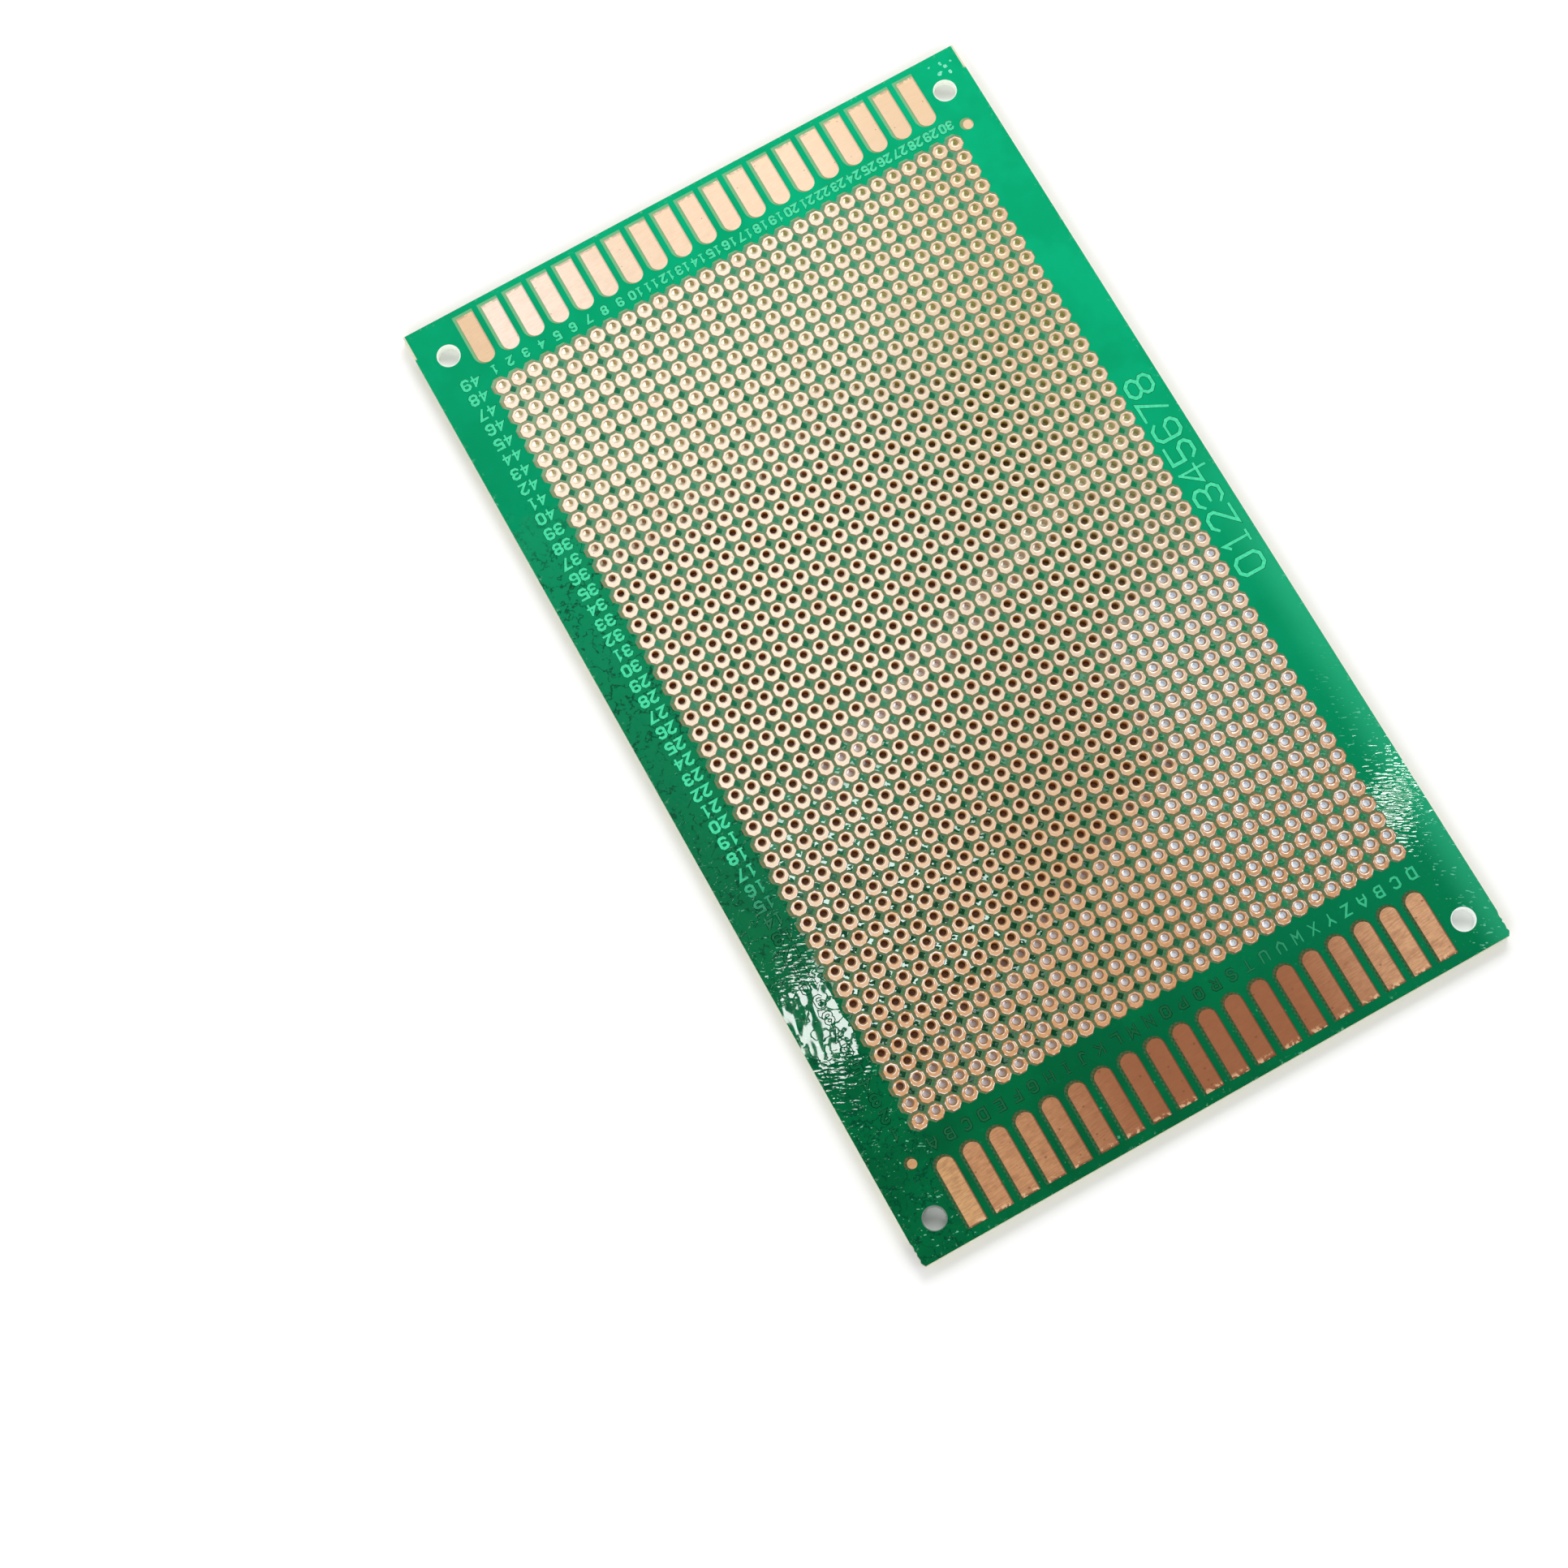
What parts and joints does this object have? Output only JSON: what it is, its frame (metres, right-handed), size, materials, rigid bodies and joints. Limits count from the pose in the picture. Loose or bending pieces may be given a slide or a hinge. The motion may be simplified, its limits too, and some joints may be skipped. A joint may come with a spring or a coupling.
{
  "type": "prototype circuit board",
  "caption": "Green single-sided prototype circuit board with a field of loose copper solder pads, edge fingers at both short ends and corner fixing holes.",
  "frame": {"origin": "middle of the sheet's underside", "axes": "+Z out of the copper side, +Y along the board towards the end with the shorter fingers, +X to the right when the copper side is seen with +Y up"},
  "size_m": [0.09, 0.15, 0.0016],
  "materials": {
    "laminate": "cut glass-epoxy sheet, satin, faintly translucent",
    "solder_mask": "glossy green lacquer, rippled",
    "pad_copper": "bare bright copper, satin",
    "top_finger_copper": "bare bright copper, satin",
    "bottom_finger_copper": "bare brushed copper, tarnished"
  },
  "bodies": {
    "root": {"laminate": "laminate", "solder_mask": "solder_mask", "top_fingers": "top_finger_copper", "bottom_fingers": "bottom_finger_copper", "upper_dot": "pad_copper", "lower_dot": "pad_copper", "pad_row_01": "pad_copper", "pad_row_02": "pad_copper", "pad_row_03": "pad_copper", "pad_row_04": "pad_copper", "pad_row_05": "pad_copper", "pad_row_06": "pad_copper", "pad_row_07": "pad_copper", "pad_row_08": "pad_copper", "pad_row_09": "pad_copper", "pad_row_10": "pad_copper", "pad_row_11": "pad_copper", "pad_row_12": "pad_copper", "pad_row_13": "pad_copper", "pad_row_14": "pad_copper", "pad_row_15": "pad_copper", "pad_row_16": "pad_copper", "pad_row_17": "pad_copper", "pad_row_18": "pad_copper", "pad_row_19": "pad_copper", "pad_row_20": "pad_copper", "pad_row_21": "pad_copper", "pad_row_22": "pad_copper", "pad_row_23": "pad_copper", "pad_row_24": "pad_copper", "pad_row_25": "pad_copper", "pad_row_26": "pad_copper", "pad_row_27": "pad_copper", "pad_row_28": "pad_copper", "pad_row_29": "pad_copper", "pad_row_30": "pad_copper", "pad_row_31": "pad_copper", "pad_row_32": "pad_copper", "pad_row_33": "pad_copper", "pad_row_34": "pad_copper", "pad_row_35": "pad_copper", "pad_row_36": "pad_copper", "pad_row_37": "pad_copper", "pad_row_38": "pad_copper", "pad_row_39": "pad_copper", "pad_row_40": "pad_copper", "pad_row_41": "pad_copper", "pad_row_42": "pad_copper", "pad_row_43": "pad_copper", "pad_row_44": "pad_copper", "pad_row_45": "pad_copper", "pad_row_46": "pad_copper", "pad_row_47": "pad_copper", "pad_row_48": "pad_copper"}
  },
  "joints": []
}
